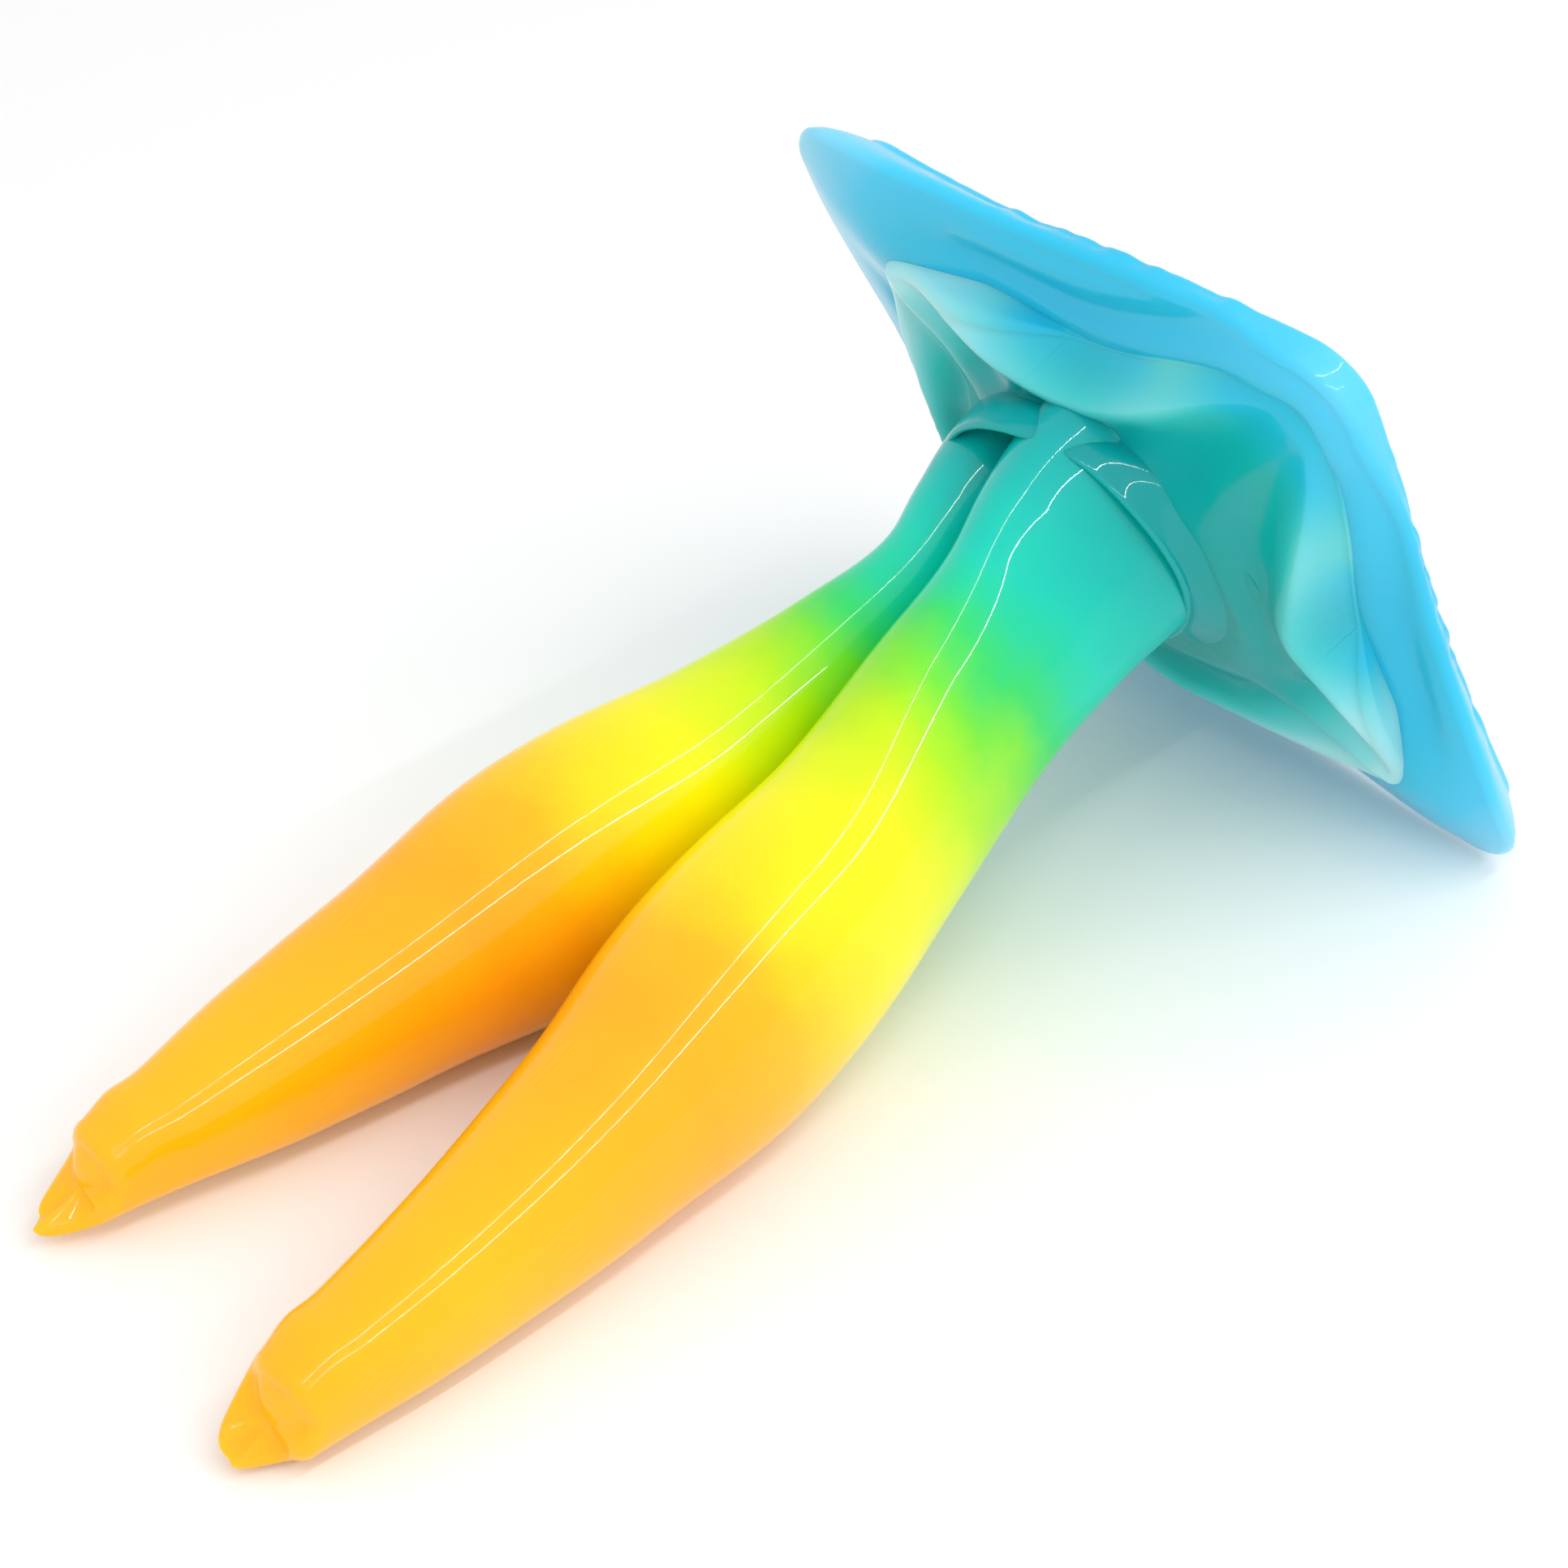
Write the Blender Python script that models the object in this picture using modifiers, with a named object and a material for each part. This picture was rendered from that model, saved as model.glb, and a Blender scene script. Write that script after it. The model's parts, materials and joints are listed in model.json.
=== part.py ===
"""Soft silicone double arm on a four-point star base, lying on its side: arms along -Y, floor at z = 0.

The real thing is one bonded casting. Each colour pour and each free lobe is its own solid here, and a
bend in the rubber is a hinge with a rounded end in a rounded seat, so that the pieces never touch.
"""

import math

import bmesh
import bpy
import numpy as np
from mathutils import Matrix, Vector

OBJECT_NAME = "star_base_double_arm"

# Driving dimensions, in metres and degrees.
GAP = 0.0003
SEAT_GAP = 0.0004
SEAT_FIT = 1.05
STAR_HEIGHT = 0.0470
STAR_LEAN = math.radians(25.6)
STAR_ROLL = math.radians(45)

# Both tiers are measured from the star's middle; tips go lower right, upper right, upper left, lower left.
PAD = {"back": -0.0060, "front": 0.0020, "hinge": 0.0420, "corner": 0.0265}
POINT = {"tips": [0.0690, 0.0610, 0.0690, 0.0675], "root_half": 0.0265, "tip_half": 0.0075, "tip_thick": 0.0024}
RING = {"back": 0.0023, "front": 0.0110, "hinge": 0.0265, "corner": 0.0100}
LEAF = {"tips": [0.0515, 0.0510, 0.0490, 0.0500], "root_half": 0.0150, "tip_half": 0.0055, "tip_thick": 0.0028}
SKIRT = {"base": 0.0215, "top": 0.0135}
COLLAR = {"front": 0.0175, "wide": 0.0192, "high": 0.0206, "wall": 0.0022}
SEAT_LENGTH = 0.0800
ARM_START = -0.0160
ARM_END_ROUND = 0.0015
NECK = -0.0240

# Each arm's middle line and half sizes, from the star to the tip: y, x, z of each arm in turn, then the
# half size towards the other arm and the half size across it.
STATIONS = np.array([
    [-0.012, 0.0052, 0.0530, -0.0072, 0.0465, 0.0066, 0.0145],
    [-0.030, 0.0062, 0.0448, -0.0072, 0.0382, 0.0068, 0.0155],
    [-0.046, 0.0075, 0.0372, -0.0112, 0.0310, 0.0092, 0.0152],
    [-0.063, 0.0097, 0.0285, -0.0162, 0.0246, 0.0122, 0.0152],
    [-0.091, 0.0132, 0.0186, -0.0208, 0.0178, 0.0150, 0.0175],
    [-0.118, 0.0178, 0.0136, -0.0226, 0.0134, 0.0120, 0.0130],
    [-0.145, 0.0215, 0.0100, -0.0238, 0.0098, 0.0088, 0.0090],
    [-0.163, 0.0232, 0.0070, -0.0247, 0.0066, 0.0056, 0.0060],
    [-0.1715, 0.0232, 0.0045, -0.0255, 0.0042, 0.0022, 0.0026],
])
# Where each pour ends, and the pours that bend at their start with the shape of the seat.
POURS = [
    ("root", -0.0315, None, "#02b5a8"),
    ("green", -0.0430, "across", "#3ecf63"),
    ("lime", -0.0590, None, "#b4e61c"),
    ("yellow", -0.0870, None, "#f5e808"),
    ("orange", -0.1350, "ball", "#ffb214"),
    ("tip", -0.1715, "ball", "#ffbe1c"),
]
SIDES = 20
SEAT_SIDES = 48
TUBE_STEP = 0.008
SLOPE_STEP = 0.001
ROOT_RINGS = (0.3, 0.6, 0.85, 1.0)
LOBE_RINGS = (0.0, 0.25, 0.5, 0.75, 1.0)
LOBE_END_TURNS = (25, 50, 72)
ARM_SEAT_RINGS = (0.2, 0.4, 0.6, 0.8, 0.92, 1.0)
SHARP_ANGLE = math.radians(40)
LOBE_NAMES = ["lower_right", "upper_right", "upper_left", "lower_left"]

PAD_BLUE = "#35b8de"
RING_TEAL = "#22bcc4"
LEAF_PALE = "#8fdbe6"
SKIRT_TEAL = "#0a9aa3"
COLLAR_TEAL = "#10adaa"
RUBBER_ROUGHNESS = 0.18

# The star's own directions: out of its front, along its floor edge, and down its face.
FORWARD = Vector((0, -math.cos(STAR_LEAN), -math.sin(STAR_LEAN)))
DOWN = Vector((0, math.sin(STAR_LEAN), -math.cos(STAR_LEAN)))
CENTRE = Vector((0, 0, STAR_HEIGHT))
LOWER_RIGHT = math.cos(STAR_ROLL) * Vector((1, 0, 0)) + math.sin(STAR_ROLL) * DOWN
UPPER_RIGHT = math.sin(STAR_ROLL) * Vector((1, 0, 0)) - math.cos(STAR_ROLL) * DOWN
LOBE_DIRECTIONS = [LOWER_RIGHT, UPPER_RIGHT, -LOWER_RIGHT, -UPPER_RIGHT]


def clear_scene():
    for obj in list(bpy.data.objects):
        bpy.data.objects.remove(obj, do_unlink=True)


def new_collection(name):
    collection = bpy.data.collections.new(name)
    bpy.context.scene.collection.children.link(collection)
    return collection


def linear(channel):
    return channel / 12.92 if channel <= 0.04045 else ((channel + 0.055) / 1.055) ** 2.4


def rubber(name, colour):
    """Glossy cast silicone of one sRGB colour."""
    material = bpy.data.materials.new(name)
    material.use_nodes = True
    shader = material.node_tree.nodes["Principled BSDF"]
    levels = [linear(int(colour[i:i + 2], 16) / 255) for i in (1, 3, 5)]
    shader.inputs["Base Color"].default_value = (*levels, 1)
    shader.inputs["Roughness"].default_value = RUBBER_ROUGHNESS
    shader.inputs["Metallic"].default_value = 0
    return material


def make_object(name, mesh, colour, collection, pivot=None):
    """An object whose origin is its joint's pivot; the mesh comes in world places."""
    obj = bpy.data.objects.new(name, mesh)
    collection.objects.link(obj)
    if pivot is not None:
        mesh.transform(Matrix.Translation(-pivot))
        obj.location = pivot
    obj.data.materials.append(rubber(name + "_rubber", colour))
    mesh.shade_smooth()
    mesh.set_sharp_from_angle(angle=SHARP_ANGLE)
    return obj


def loft(name, rings):
    """A closed skin through rings of equal count; a ring of one point closes an end."""
    bm = bmesh.new()
    loops = [[bm.verts.new(point) for point in ring] for ring in rings]
    for near, far in zip(loops, loops[1:]):
        for i in range(SIDES):
            j = (i + 1) % SIDES
            if len(near) == 1:
                bm.faces.new((near[0], far[j], far[i]))
            elif len(far) == 1:
                bm.faces.new((near[i], near[j], far[0]))
            else:
                bm.faces.new((near[i], near[j], far[j], far[i]))
    for end in (loops[0], loops[-1]):
        if len(end) > 1:
            bm.faces.new(end)
    bmesh.ops.recalc_face_normals(bm, faces=bm.faces)
    bmesh.ops.triangulate(bm, faces=bm.faces)
    mesh = bpy.data.meshes.new(name)
    bm.to_mesh(mesh)
    bm.free()
    return mesh


def angles():
    return [2 * math.pi * i / SIDES for i in range(SIDES)]


# Star and leaf tiers: a flat core with a rounded seat at each corner, and a lobe in each seat.

def tier_middle(tier):
    return (tier["front"] + tier["back"]) / 2


def tier_half(tier):
    return (tier["front"] - tier["back"]) / 2


def seat_radius(half):
    return SEAT_FIT * half + SEAT_GAP


def tier_core(name, tier, colour, parts, cutters):
    """A slab cut square across each diagonal, then hollowed there by a cylinder along the cut."""
    corners = []
    for out in LOBE_DIRECTIONS:
        side = FORWARD.cross(out)
        for sign in (-1, 1):
            corners.append(CENTRE + tier["hinge"] * out + sign * tier["corner"] * side)
    corners.sort(key=lambda p: math.atan2((p - CENTRE).dot(UPPER_RIGHT), (p - CENTRE).dot(LOWER_RIGHT)))
    bm = bmesh.new()
    face = bm.faces.new([bm.verts.new(p + tier["back"] * FORWARD) for p in corners])
    thickness = (tier["front"] - tier["back"]) * FORWARD
    raised = bmesh.ops.extrude_face_region(bm, geom=[face])["geom"]
    bmesh.ops.translate(bm, verts=[v for v in raised if isinstance(v, bmesh.types.BMVert)], vec=thickness)
    bmesh.ops.recalc_face_normals(bm, faces=bm.faces)
    mesh = bpy.data.meshes.new(name)
    bm.to_mesh(mesh)
    bm.free()
    core = make_object(name, mesh, colour, parts)
    for index, out in enumerate(LOBE_DIRECTIONS):
        cutter = seat_cutter(f"{name}_seat_{index}", tier, out, cutters)
        cut = core.modifiers.new(f"seat_{index}", "BOOLEAN")
        cut.operation = "DIFFERENCE"
        cut.object = cutter
    return core


def seat_cutter(name, tier, out, cutters):
    side = FORWARD.cross(out)
    bm = bmesh.new()
    radius = seat_radius(tier_half(tier))
    bmesh.ops.create_cone(bm, cap_ends=True, segments=SEAT_SIDES, radius1=radius, radius2=radius,
                          depth=SEAT_LENGTH)
    mesh = bpy.data.meshes.new(name)
    bm.to_mesh(mesh)
    bm.free()
    cutter = bpy.data.objects.new(name, mesh)
    cutters.objects.link(cutter)
    turn = Matrix((out, side.cross(out), side)).transposed()
    cutter.matrix_world = Matrix.Translation(hinge_point(tier, out)) @ turn.to_4x4()
    cutter.hide_render = True
    cutter.display_type = "WIRE"
    return cutter


def hinge_point(tier, out):
    return CENTRE + tier["hinge"] * out + tier_middle(tier) * FORWARD


def lobe(name, tier, shape, tip, out, colour, parts):
    """A flat lobe from its round root to its round tip, narrowing and thinning in a straight line."""
    side = FORWARD.cross(out)
    pivot = hinge_point(tier, out)
    length = tip - tier["hinge"]
    straight = length - shape["tip_half"]
    root_thick = tier_half(tier) - GAP
    seat = SEAT_FIT * tier_half(tier)

    def point(x, across, thick):
        return pivot + x * out + across * side + thick * FORWARD

    def outline(angle):
        """A rounded box of half size 1."""
        c, s = math.cos(angle), math.sin(angle)
        return (math.copysign(abs(c) ** 0.6, c), math.copysign(abs(s) ** 0.6, s))

    rings = [[point(-seat, 0, 0)]]
    for f in ROOT_RINGS:
        ring = []
        for angle in angles():
            c, s = outline(angle)
            thick = f * s * root_thick
            back = math.sqrt(seat ** 2 - thick ** 2)
            ring.append(point(-back, f * c * shape["root_half"], thick))
        rings.append(ring)
    for f in LOBE_RINGS:
        rings.append(lobe_ring(point, outline, shape, root_thick, f * straight, f, 1))
    for turn in LOBE_END_TURNS:
        a = math.radians(turn)
        x = straight + shape["tip_half"] * math.sin(a)
        rings.append(lobe_ring(point, outline, shape, root_thick, x, 1, math.cos(a)))
    rings.append([point(length, 0, 0)])
    return make_object(name, loft(name, rings), colour, parts, pivot)


def lobe_ring(point, outline, shape, root_thick, x, along, end):
    half = shape["root_half"] + along * (shape["tip_half"] - shape["root_half"])
    thick = root_thick + along * (shape["tip_thick"] - root_thick)
    ring = []
    for angle in angles():
        c, s = outline(angle)
        ring.append(point(x, c * half * end, s * thick * (0.4 + 0.6 * end)))
    return ring


# Arms: a loft along each middle line.

def smooth_stations(y):
    """The station row at y, on a curve that passes every station with an even slope."""
    ys = -STATIONS[:, 0]
    rows = STATIONS[:, 1:]
    slopes = np.gradient(rows, ys, axis=0)
    i = int(np.clip(np.searchsorted(ys, -y) - 1, 0, len(ys) - 2))
    span = ys[i + 1] - ys[i]
    t = (-y - ys[i]) / span
    start = (1 + 2 * t) * (1 - t) ** 2 * rows[i] + t * (1 - t) ** 2 * span * slopes[i]
    end = t ** 2 * (3 - 2 * t) * rows[i + 1] + t ** 2 * (t - 1) * span * slopes[i + 1]
    return start + end


def arm_middle(side, y):
    row = smooth_stations(y)
    column = 0 if side == "right" else 2
    return Vector((row[column], y, row[column + 1]))


def arm_frame(side, y):
    """Middle, direction to the tip, direction away from the other arm, third direction, half sizes."""
    row = smooth_stations(y)
    along = (arm_middle(side, y - SLOPE_STEP) - arm_middle(side, y + SLOPE_STEP)).normalized()
    apart = arm_middle("right", y) - arm_middle("left", y)
    if side == "left":
        apart = -apart
    apart = (apart - apart.dot(along) * along).normalized()
    return arm_middle(side, y), along, apart, along.cross(apart), float(row[4]), float(row[5])


def arm_ring(side, y, f=1.0, seat=None, kind=None):
    """A ring of the arm at y. With a seat radius it lies on the round seat: on a cylinder for a hinge
    that opens the arms, and on a ball for one that lifts them."""
    middle, along, apart, across, wide, high = arm_frame(side, y)
    ring = []
    for angle in angles():
        a = f * wide * math.cos(angle)
        b = f * high * math.sin(angle)
        back = 0.0
        if seat is not None:
            reach = a ** 2 if kind == "across" else a ** 2 + b ** 2
            back = math.sqrt(seat ** 2 - reach)
        ring.append(middle + a * apart + b * across - back * along)
    return ring


def on_skirt(side, ring):
    """The ring slid along the arm until it lies just clear of the skirt's flat top."""
    along = arm_frame(side, ARM_START)[1]
    top = SKIRT["top"] + GAP
    return [p + (top - (p - CENTRE).dot(FORWARD)) / along.dot(FORWARD) * along for p in ring]


def seat_size(side, y, kind):
    wide, high = arm_frame(side, y)[4:]
    return SEAT_FIT * (wide if kind == "across" else max(wide, high))


def seat_rings(side, y, kind, gap):
    """Rings of a round seat or a round end, from its middle out to the skin."""
    seat = seat_size(side, y, kind) + gap
    middle, along = arm_frame(side, y)[:2]
    rings = [[middle - seat * along]]
    return rings + [arm_ring(side, y, f, seat, kind) for f in ARM_SEAT_RINGS]


def arm_piece(side, name, start, end, start_kind, end_kind, colour, parts):
    rings = []
    first = start - GAP / 2
    if start_kind:
        rings += seat_rings(side, start, start_kind, 0)
        first = start - TUBE_STEP / 4
    last = end + GAP / 2
    if end_kind:
        last = end + seat_size(side, end, end_kind) + TUBE_STEP / 4
    is_tip = end <= STATIONS[-1, 0]
    if is_tip:
        last = end
    count = max(2, round((first - last) / TUBE_STEP) + 1)
    tube = [arm_ring(side, y) for y in np.linspace(first, last, count)]
    if start == ARM_START:
        tube[0] = on_skirt(side, tube[0])
    rings += tube
    if is_tip:
        rings.append([arm_middle(side, end) + ARM_END_ROUND * arm_frame(side, end)[1]])
    if end_kind:
        rings += seat_rings(side, end, end_kind, SEAT_GAP)[::-1]
    pivot = arm_middle(side, start)
    return make_object(name, loft(name, rings), colour, parts, pivot)


def build_arm(side, parts):
    start = ARM_START
    for index, (pour, end, kind, colour) in enumerate(POURS):
        following = POURS[index + 1][2] if index + 1 < len(POURS) else None
        arm_piece(side, f"{side}_arm_{pour}", start, end, kind, following, colour, parts)
        start = end


# Skirt and collar: the mound that the arms rise from, and the lip round them.

def neck_axes():
    """Directions away from and across the pair of arms in the star's plane."""
    apart = arm_middle("right", NECK) - arm_middle("left", NECK)
    apart = (apart - apart.dot(FORWARD) * FORWARD).normalized()
    return apart, FORWARD.cross(apart)


def neck_middle(forward):
    """The middle of the pair of arms at a height above the star."""
    start = (arm_middle("right", NECK) + arm_middle("left", NECK)) / 2
    along = (arm_frame("right", NECK)[1] + arm_frame("left", NECK)[1]).normalized()
    return start + (forward - (start - CENTRE).dot(FORWARD)) / along.dot(FORWARD) * along


def oval(middle, wide, high):
    apart, across = neck_axes()
    return [middle + wide * math.cos(a) * apart + high * math.sin(a) * across for a in angles()]


def build_skirt(parts):
    bottom = RING["front"] + GAP
    rings = [
        oval(CENTRE + bottom * FORWARD, SKIRT["base"], SKIRT["base"]),
        oval(neck_middle(SKIRT["top"]), COLLAR["wide"], COLLAR["high"]),
    ]
    return make_object("skirt", loft("skirt", rings), SKIRT_TEAL, parts)


def build_collar(parts):
    """An open oval sleeve with a wall."""
    bm = bmesh.new()
    low = [bm.verts.new(p) for p in oval(neck_middle(SKIRT["top"] + GAP), COLLAR["wide"], COLLAR["high"])]
    top = [bm.verts.new(p) for p in oval(neck_middle(COLLAR["front"]), COLLAR["wide"], COLLAR["high"])]
    for i in range(SIDES):
        j = (i + 1) % SIDES
        bm.faces.new((low[i], low[j], top[j], top[i]))
    bmesh.ops.recalc_face_normals(bm, faces=bm.faces)
    mesh = bpy.data.meshes.new("collar")
    bm.to_mesh(mesh)
    bm.free()
    collar = make_object("collar", mesh, COLLAR_TEAL, parts)
    wall = collar.modifiers.new("wall", "SOLIDIFY")
    wall.thickness = COLLAR["wall"]
    wall.offset = -1
    return collar


def settle(objects):
    """Moves everything so that it stands on z = 0, with its box centred on the origin."""
    bpy.context.view_layer.update()
    corners = [obj.matrix_world @ v.co for obj in objects if not obj.hide_render for v in obj.data.vertices]
    low = Vector([min(p[i] for p in corners) for i in range(3)])
    high = Vector([max(p[i] for p in corners) for i in range(3)])
    shift = Vector(((low.x + high.x) / 2, (low.y + high.y) / 2, low.z))
    for obj in objects:
        obj.location -= shift


def main():
    clear_scene()
    parts = new_collection(OBJECT_NAME)
    cutters = new_collection("cutters")
    tier_core("star_pad", PAD, PAD_BLUE, parts, cutters)
    tier_core("leaf_ring", RING, RING_TEAL, parts, cutters)
    for i, (name, out) in enumerate(zip(LOBE_NAMES, LOBE_DIRECTIONS)):
        lobe(f"{name}_point", PAD, POINT, POINT["tips"][i], out, PAD_BLUE, parts)
        lobe(f"{name}_leaf", RING, LEAF, LEAF["tips"][i], out, LEAF_PALE, parts)
    build_skirt(parts)
    build_collar(parts)
    for side in ("right", "left"):
        build_arm(side, parts)
    settle(list(parts.objects) + list(cutters.objects))


main()
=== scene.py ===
# A cast silicone double arm on a four-point star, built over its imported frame. Shapes are worked out in mm.
import json
import math

import bmesh
import bpy
import numpy as np
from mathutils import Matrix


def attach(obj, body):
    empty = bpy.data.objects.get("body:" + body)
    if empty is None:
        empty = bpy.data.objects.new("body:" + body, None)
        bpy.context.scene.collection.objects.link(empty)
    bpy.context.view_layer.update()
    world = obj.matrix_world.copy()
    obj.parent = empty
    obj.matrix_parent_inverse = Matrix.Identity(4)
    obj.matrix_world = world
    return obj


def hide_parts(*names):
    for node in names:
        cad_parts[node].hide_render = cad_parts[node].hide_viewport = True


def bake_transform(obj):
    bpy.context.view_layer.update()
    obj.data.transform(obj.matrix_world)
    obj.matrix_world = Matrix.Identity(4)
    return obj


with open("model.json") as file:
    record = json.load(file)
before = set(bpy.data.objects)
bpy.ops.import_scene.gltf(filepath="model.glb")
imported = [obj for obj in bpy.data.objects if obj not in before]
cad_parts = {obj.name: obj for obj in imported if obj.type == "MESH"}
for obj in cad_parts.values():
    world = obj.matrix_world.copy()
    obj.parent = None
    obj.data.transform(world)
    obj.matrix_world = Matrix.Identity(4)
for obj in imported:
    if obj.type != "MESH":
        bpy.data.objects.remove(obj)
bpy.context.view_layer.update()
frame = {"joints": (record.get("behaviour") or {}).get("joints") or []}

scene = bpy.context.scene
mm = 0.001
sharpAngle = 62  # degrees: a sharper turn than this between faces is drawn as an edge
joints = {joint["name"]: joint for joint in frame["joints"]}


def unit(vector):
    return vector / np.linalg.norm(vector, axis=-1, keepdims=True)


def smooth(x):  # 0 below 0, 1 above 1, an even curve between
    x = np.clip(x, 0, 1)
    return x * x * (3 - 2 * x)


def bump(x, width):  # a round hill, 1 at x = 0
    return np.exp(-(x / width) ** 2)


def wave(x, terms):  # the sum of sines, each given as size, count and phase
    return sum(size * np.sin(count * x + phase) for size, count, phase in terms)


def hinge(name):  # a joint's place in mm
    return np.array(joints[name]["pos_m"]) * 1000


def closedFaces(rows, columns):
    # Quads between neighbouring rows of a tube, and a fan to the first and the last point at its two ends.
    row = np.arange(rows - 1)[:, None]
    column = np.arange(columns)[None, :]
    after = (column + 1) % columns
    corners = [row * columns + column, row * columns + after,
               (row + 1) * columns + after, (row + 1) * columns + column]
    quads = np.stack(corners, axis=-1).reshape(-1, 4) + 1
    ring = np.arange(columns)
    nextInRing = (ring + 1) % columns
    last = rows * columns + 1
    start = np.stack([np.zeros_like(ring), nextInRing + 1, ring + 1], axis=-1)
    end = np.stack([np.full_like(ring, last), last - columns + ring, last - columns + nextInRing], axis=-1)
    return quads.tolist() + start.tolist() + end.tolist()


def ringFaces(rows, columns):
    # Quads of a surface that closes on itself both ways.
    row = np.arange(rows)[:, None]
    column = np.arange(columns)[None, :]
    nextRow, nextColumn = (row + 1) % rows, (column + 1) % columns
    corners = [row * columns + column, row * columns + nextColumn,
               nextRow * columns + nextColumn, nextRow * columns + column]
    return np.stack(corners, axis=-1).reshape(-1, 4).tolist()


def withPoles(values):  # one value for each end of a tube, then the grid between
    grid = values.reshape(values.shape[0] * values.shape[1], -1)
    first = values[:1].mean(axis=1).reshape(1, -1)
    last = values[-1:].mean(axis=1).reshape(1, -1)
    return np.concatenate([first, grid, last])


def buildMesh(name, points, faces, marks):
    # Turns points in mm and faces into a mesh whose faces look outwards; marks are one number at each point.
    mesh = bpy.data.meshes.new(name)
    mesh.from_pydata((points * mm).tolist(), [], faces)
    for mark, values in marks.items():
        layer = mesh.attributes.new(mark, "FLOAT", "POINT")
        layer.data.foreach_set("value", np.ascontiguousarray(values, dtype=np.float32).ravel())
    solid = bmesh.new()
    solid.from_mesh(mesh)
    if solid.calc_volume(signed=True) < 0:
        bmesh.ops.reverse_faces(solid, faces=solid.faces)
    solid.to_mesh(mesh)
    solid.free()
    return mesh


def buildPiece(name, mesh, material):
    piece = bpy.data.objects.new(name, mesh)
    scene.collection.objects.link(piece)
    mesh.materials.clear()
    mesh.materials.append(material)
    mesh.shade_smooth()
    mesh.set_sharp_from_angle(angle=math.radians(sharpAngle))
    return piece


def cutMesh(mesh, name, cuts):
    # Keeps the side of each plane that its normal points to, and closes the cut.
    solid = bmesh.new()
    solid.from_mesh(mesh)
    for place, normal in cuts:
        everything = solid.verts[:] + solid.edges[:] + solid.faces[:]
        found = bmesh.ops.bisect_plane(solid, geom=everything, plane_co=place * mm, plane_no=normal,
                                       dist=1e-7, clear_inner=True)
        edges = [item for item in found["geom_cut"] if isinstance(item, bmesh.types.BMEdge)]
        cap = bmesh.ops.holes_fill(solid, edges=edges, sides=0)["faces"]
        bmesh.ops.triangulate(solid, faces=cap)
    bmesh.ops.recalc_face_normals(solid, faces=solid.faces)
    piece = bpy.data.meshes.new(name)
    solid.to_mesh(piece)
    solid.free()
    return piece


# The star's own directions, from its hinges.
quarters = ["lower_right", "upper_right", "upper_left", "lower_left"]
pointHinges = np.array([hinge(f"{quarter}_point_flex") for quarter in quarters])
leafHinges = np.array([hinge(f"{quarter}_leaf_flex") for quarter in quarters])
forward = unit(leafHinges.mean(axis=0) - pointHinges.mean(axis=0))
outLower = unit(pointHinges[0] - pointHinges[2])
outUpper = unit(pointHinges[1] - pointHinges[3])
outward = [outLower, outUpper, -outLower, -outUpper]
hingeDepth = 2.0  # the points' hinges lie this far behind the star's middle plane
starMiddle = pointHinges.mean(axis=0) + hingeDepth * forward
droop = {"start": 24, "length": 40, "aside": 4.0, "back": 1.8}  # how the upper right point hangs


def starPlace(a, b, height):
    # The middle plus a towards the lower right point, b towards the upper right one, and height forwards.
    hang = smooth((b - droop["start"]) / droop["length"])
    a, height = a - droop["aside"] * hang, height - droop["back"] * hang
    return starMiddle + a[..., None] * outLower + b[..., None] * outUpper + height[..., None] * forward


def toLinear(code):
    channels = [int(code[i:i + 2], 16) / 255 for i in (1, 3, 5)]
    return [c / 12.92 if c <= 0.04045 else ((c + 0.055) / 1.055) ** 2.4 for c in channels] + [1]


def addNode(tree, kind, settings=None, links=None):
    node = tree.nodes.new(kind)
    for key, value in (settings or {}).items():
        if isinstance(key, int) or key in node.inputs:
            node.inputs[key].default_value = value
        else:
            setattr(node, key, value)
    for key, source in (links or {}).items():
        tree.links.new(source, node.inputs[key])
    return node


def addRamp(tree, source, stops):
    ramp = addNode(tree, "ShaderNodeValToRGB", links={"Fac": source}).color_ramp
    node = tree.nodes[-1]
    for place, code in stops[1:-1]:
        ramp.elements.new(place).color = toLinear(code)
    ramp.elements[0].position, ramp.elements[0].color = stops[0][0], toLinear(stops[0][1])
    ramp.elements[-1].position, ramp.elements[-1].color = stops[-1][0], toLinear(stops[-1][1])
    return node.outputs["Color"]


silicone = {
    "roughness": 0.3,
    "ior": 1.41,            # platinum cured silicone
    "shine": 0.1,           # of the body under the skin
    "gloss": 0.55,          # of the skin
    "glossRoughness": 0.02,
    "depth": 0.004,         # how far light travels under the skin
    "cloud": 14,            # mm between the clouds in the pigment
    "stirred": 0.07,        # how far a cloud shifts the colour, as a share of the pour
    "layer": 1.5,           # mm between the fine steps that the mould leaves
    "step": 0.035,          # mm, their height
    "pucker": 5.5,          # mm between the slow ripples
    "puckerHeight": 0.11,
    "insideStar": 0.3,      # the share of light that enters
    "insideArm": 0.32,
    "seam": 7,              # mm from a cut over which that share falls to nothing
}


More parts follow.
